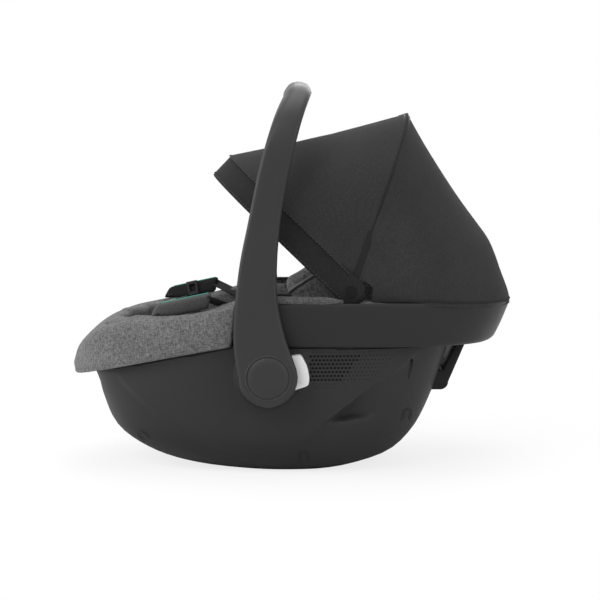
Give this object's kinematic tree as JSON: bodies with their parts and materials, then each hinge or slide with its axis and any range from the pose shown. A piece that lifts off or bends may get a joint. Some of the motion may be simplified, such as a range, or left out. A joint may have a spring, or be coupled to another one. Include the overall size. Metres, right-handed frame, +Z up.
{
  "type": "infant car seat",
  "caption": "Rear-facing infant carrier with rocker shell, swinging carry handle, folding canopy, head support, harness with buckle and belt guides",
  "frame": {"origin": "middle of the underside, where the rocker bottom meets the floor", "axes": "+X to the head end, +Y to the child's right, +Z up"},
  "size_m": [0.6723, 0.44, 0.579],
  "materials": {
    "charcoal_plastic": "matte",
    "handle_plastic": "satin",
    "grip_rubber": "matte",
    "black_plastic": "matte",
    "light_grey_plastic": "satin",
    "red_plastic": "gloss",
    "steel": "satin",
    "gear_plastic": "matte",
    "foam": "matte",
    "melange_fabric": "matte",
    "canopy_fabric": "matte",
    "pad_fabric": "matte",
    "webbing": "matte"
  },
  "bodies": {
    "shell": {"outer_shell": "charcoal_plastic", "head_rim": "charcoal_plastic", "rear_belt_guide": "black_plastic", "belt_guide_left": "black_plastic", "belt_guide_right": "black_plastic", "buckle_housing": "black_plastic", "adjuster_housing": "black_plastic", "buckle_tongue_left": "black_plastic", "buckle_tongue_right": "black_plastic", "canopy_bracket_left": "black_plastic", "canopy_bracket_right": "black_plastic", "canopy_pin_left": "black_plastic", "canopy_pin_right": "black_plastic", "latch_bar_front": "steel", "latch_bar_rear": "steel", "handle_pivot_left": "steel", "handle_pivot_right": "steel", "pivot_washer_left": "steel", "pivot_washer_right": "steel", "lock_gear_left": "gear_plastic", "lock_gear_right": "gear_plastic", "foam_liner": "foam", "foot_cover": "melange_fabric", "seat_cover": "melange_fabric", "seat_cushion": "melange_fabric", "back_cushion": "melange_fabric", "rim_roll_left": "melange_fabric", "rim_roll_right": "melange_fabric", "canopy_rear_panel": "canopy_fabric", "chest_pad_left": "pad_fabric", "chest_pad_right": "pad_fabric", "crotch_pad": "pad_fabric", "shoulder_strap_left": "webbing", "shoulder_strap_right": "webbing", "crotch_strap": "webbing", "adjuster_strap": "webbing"},
    "handle": {"carry_handle": "handle_plastic", "grip_insert": "grip_rubber", "hub_cap_left": "handle_plastic", "hub_cap_right": "handle_plastic"},
    "release_left": {"release_button_left": "light_grey_plastic"},
    "release_right": {"release_button_right": "light_grey_plastic"},
    "canopy_rear": {"canopy_rear_bow": "black_plastic", "canopy_front_panel": "canopy_fabric"},
    "canopy_front": {"canopy_front_bow": "canopy_fabric"},
    "headrest": {"headrest_back": "melange_fabric", "headrest_wing_left": "melange_fabric", "headrest_wing_right": "melange_fabric", "headrest_pull": "black_plastic"},
    "buckle_key": {"buckle_button": "red_plastic"},
    "adjuster_key": {"adjuster_button": "black_plastic"}
  },
  "joints": [
    {"name": "handle_swing", "type": "hinge", "parent": "shell", "child": "handle", "pos_m": [-0.0364, 0, 0.15], "axis": [0, 1, 0], "range_deg": [-110, 8]},
    {"name": "release_left_press", "type": "slide", "parent": "shell", "child": "release_left", "axis": [0, 1, 0], "range_m": [0, 0.005], "stiffness_N_per_m": 400, "springref_m": -0.004},
    {"name": "release_right_press", "type": "slide", "parent": "shell", "child": "release_right", "axis": [0, -1, 0], "range_m": [0, 0.005], "stiffness_N_per_m": 400, "springref_m": -0.004},
    {"name": "canopy_rear_fold", "type": "hinge", "parent": "shell", "child": "canopy_rear", "pos_m": [0.084, 0, 0.271], "axis": [0, 1, 0], "range_deg": [0, 52], "deforming": ["canopy_rear_panel"]},
    {"name": "canopy_front_fold", "type": "hinge", "parent": "canopy_rear", "child": "canopy_front", "pos_m": [0.084, 0, 0.271], "axis": [0, 1, 0], "range_deg": [0, 50], "deforming": ["canopy_front_panel"]},
    {"name": "headrest_height", "type": "slide", "parent": "shell", "child": "headrest", "axis": [0.8348, 0, 0.5505], "range_m": [0, 0.06], "deforming": ["shoulder_strap_left", "shoulder_strap_right"]},
    {"name": "buckle_press", "type": "slide", "parent": "shell", "child": "buckle_key", "axis": [1, 0, 0], "range_m": [0, 0.004], "stiffness_N_per_m": 2000, "springref_m": -0.003},
    {"name": "adjuster_press", "type": "slide", "parent": "shell", "child": "adjuster_key", "axis": [-0.5726, 0, -0.8198], "range_m": [0, 0.004], "stiffness_N_per_m": 1500, "springref_m": -0.003}
  ]
}
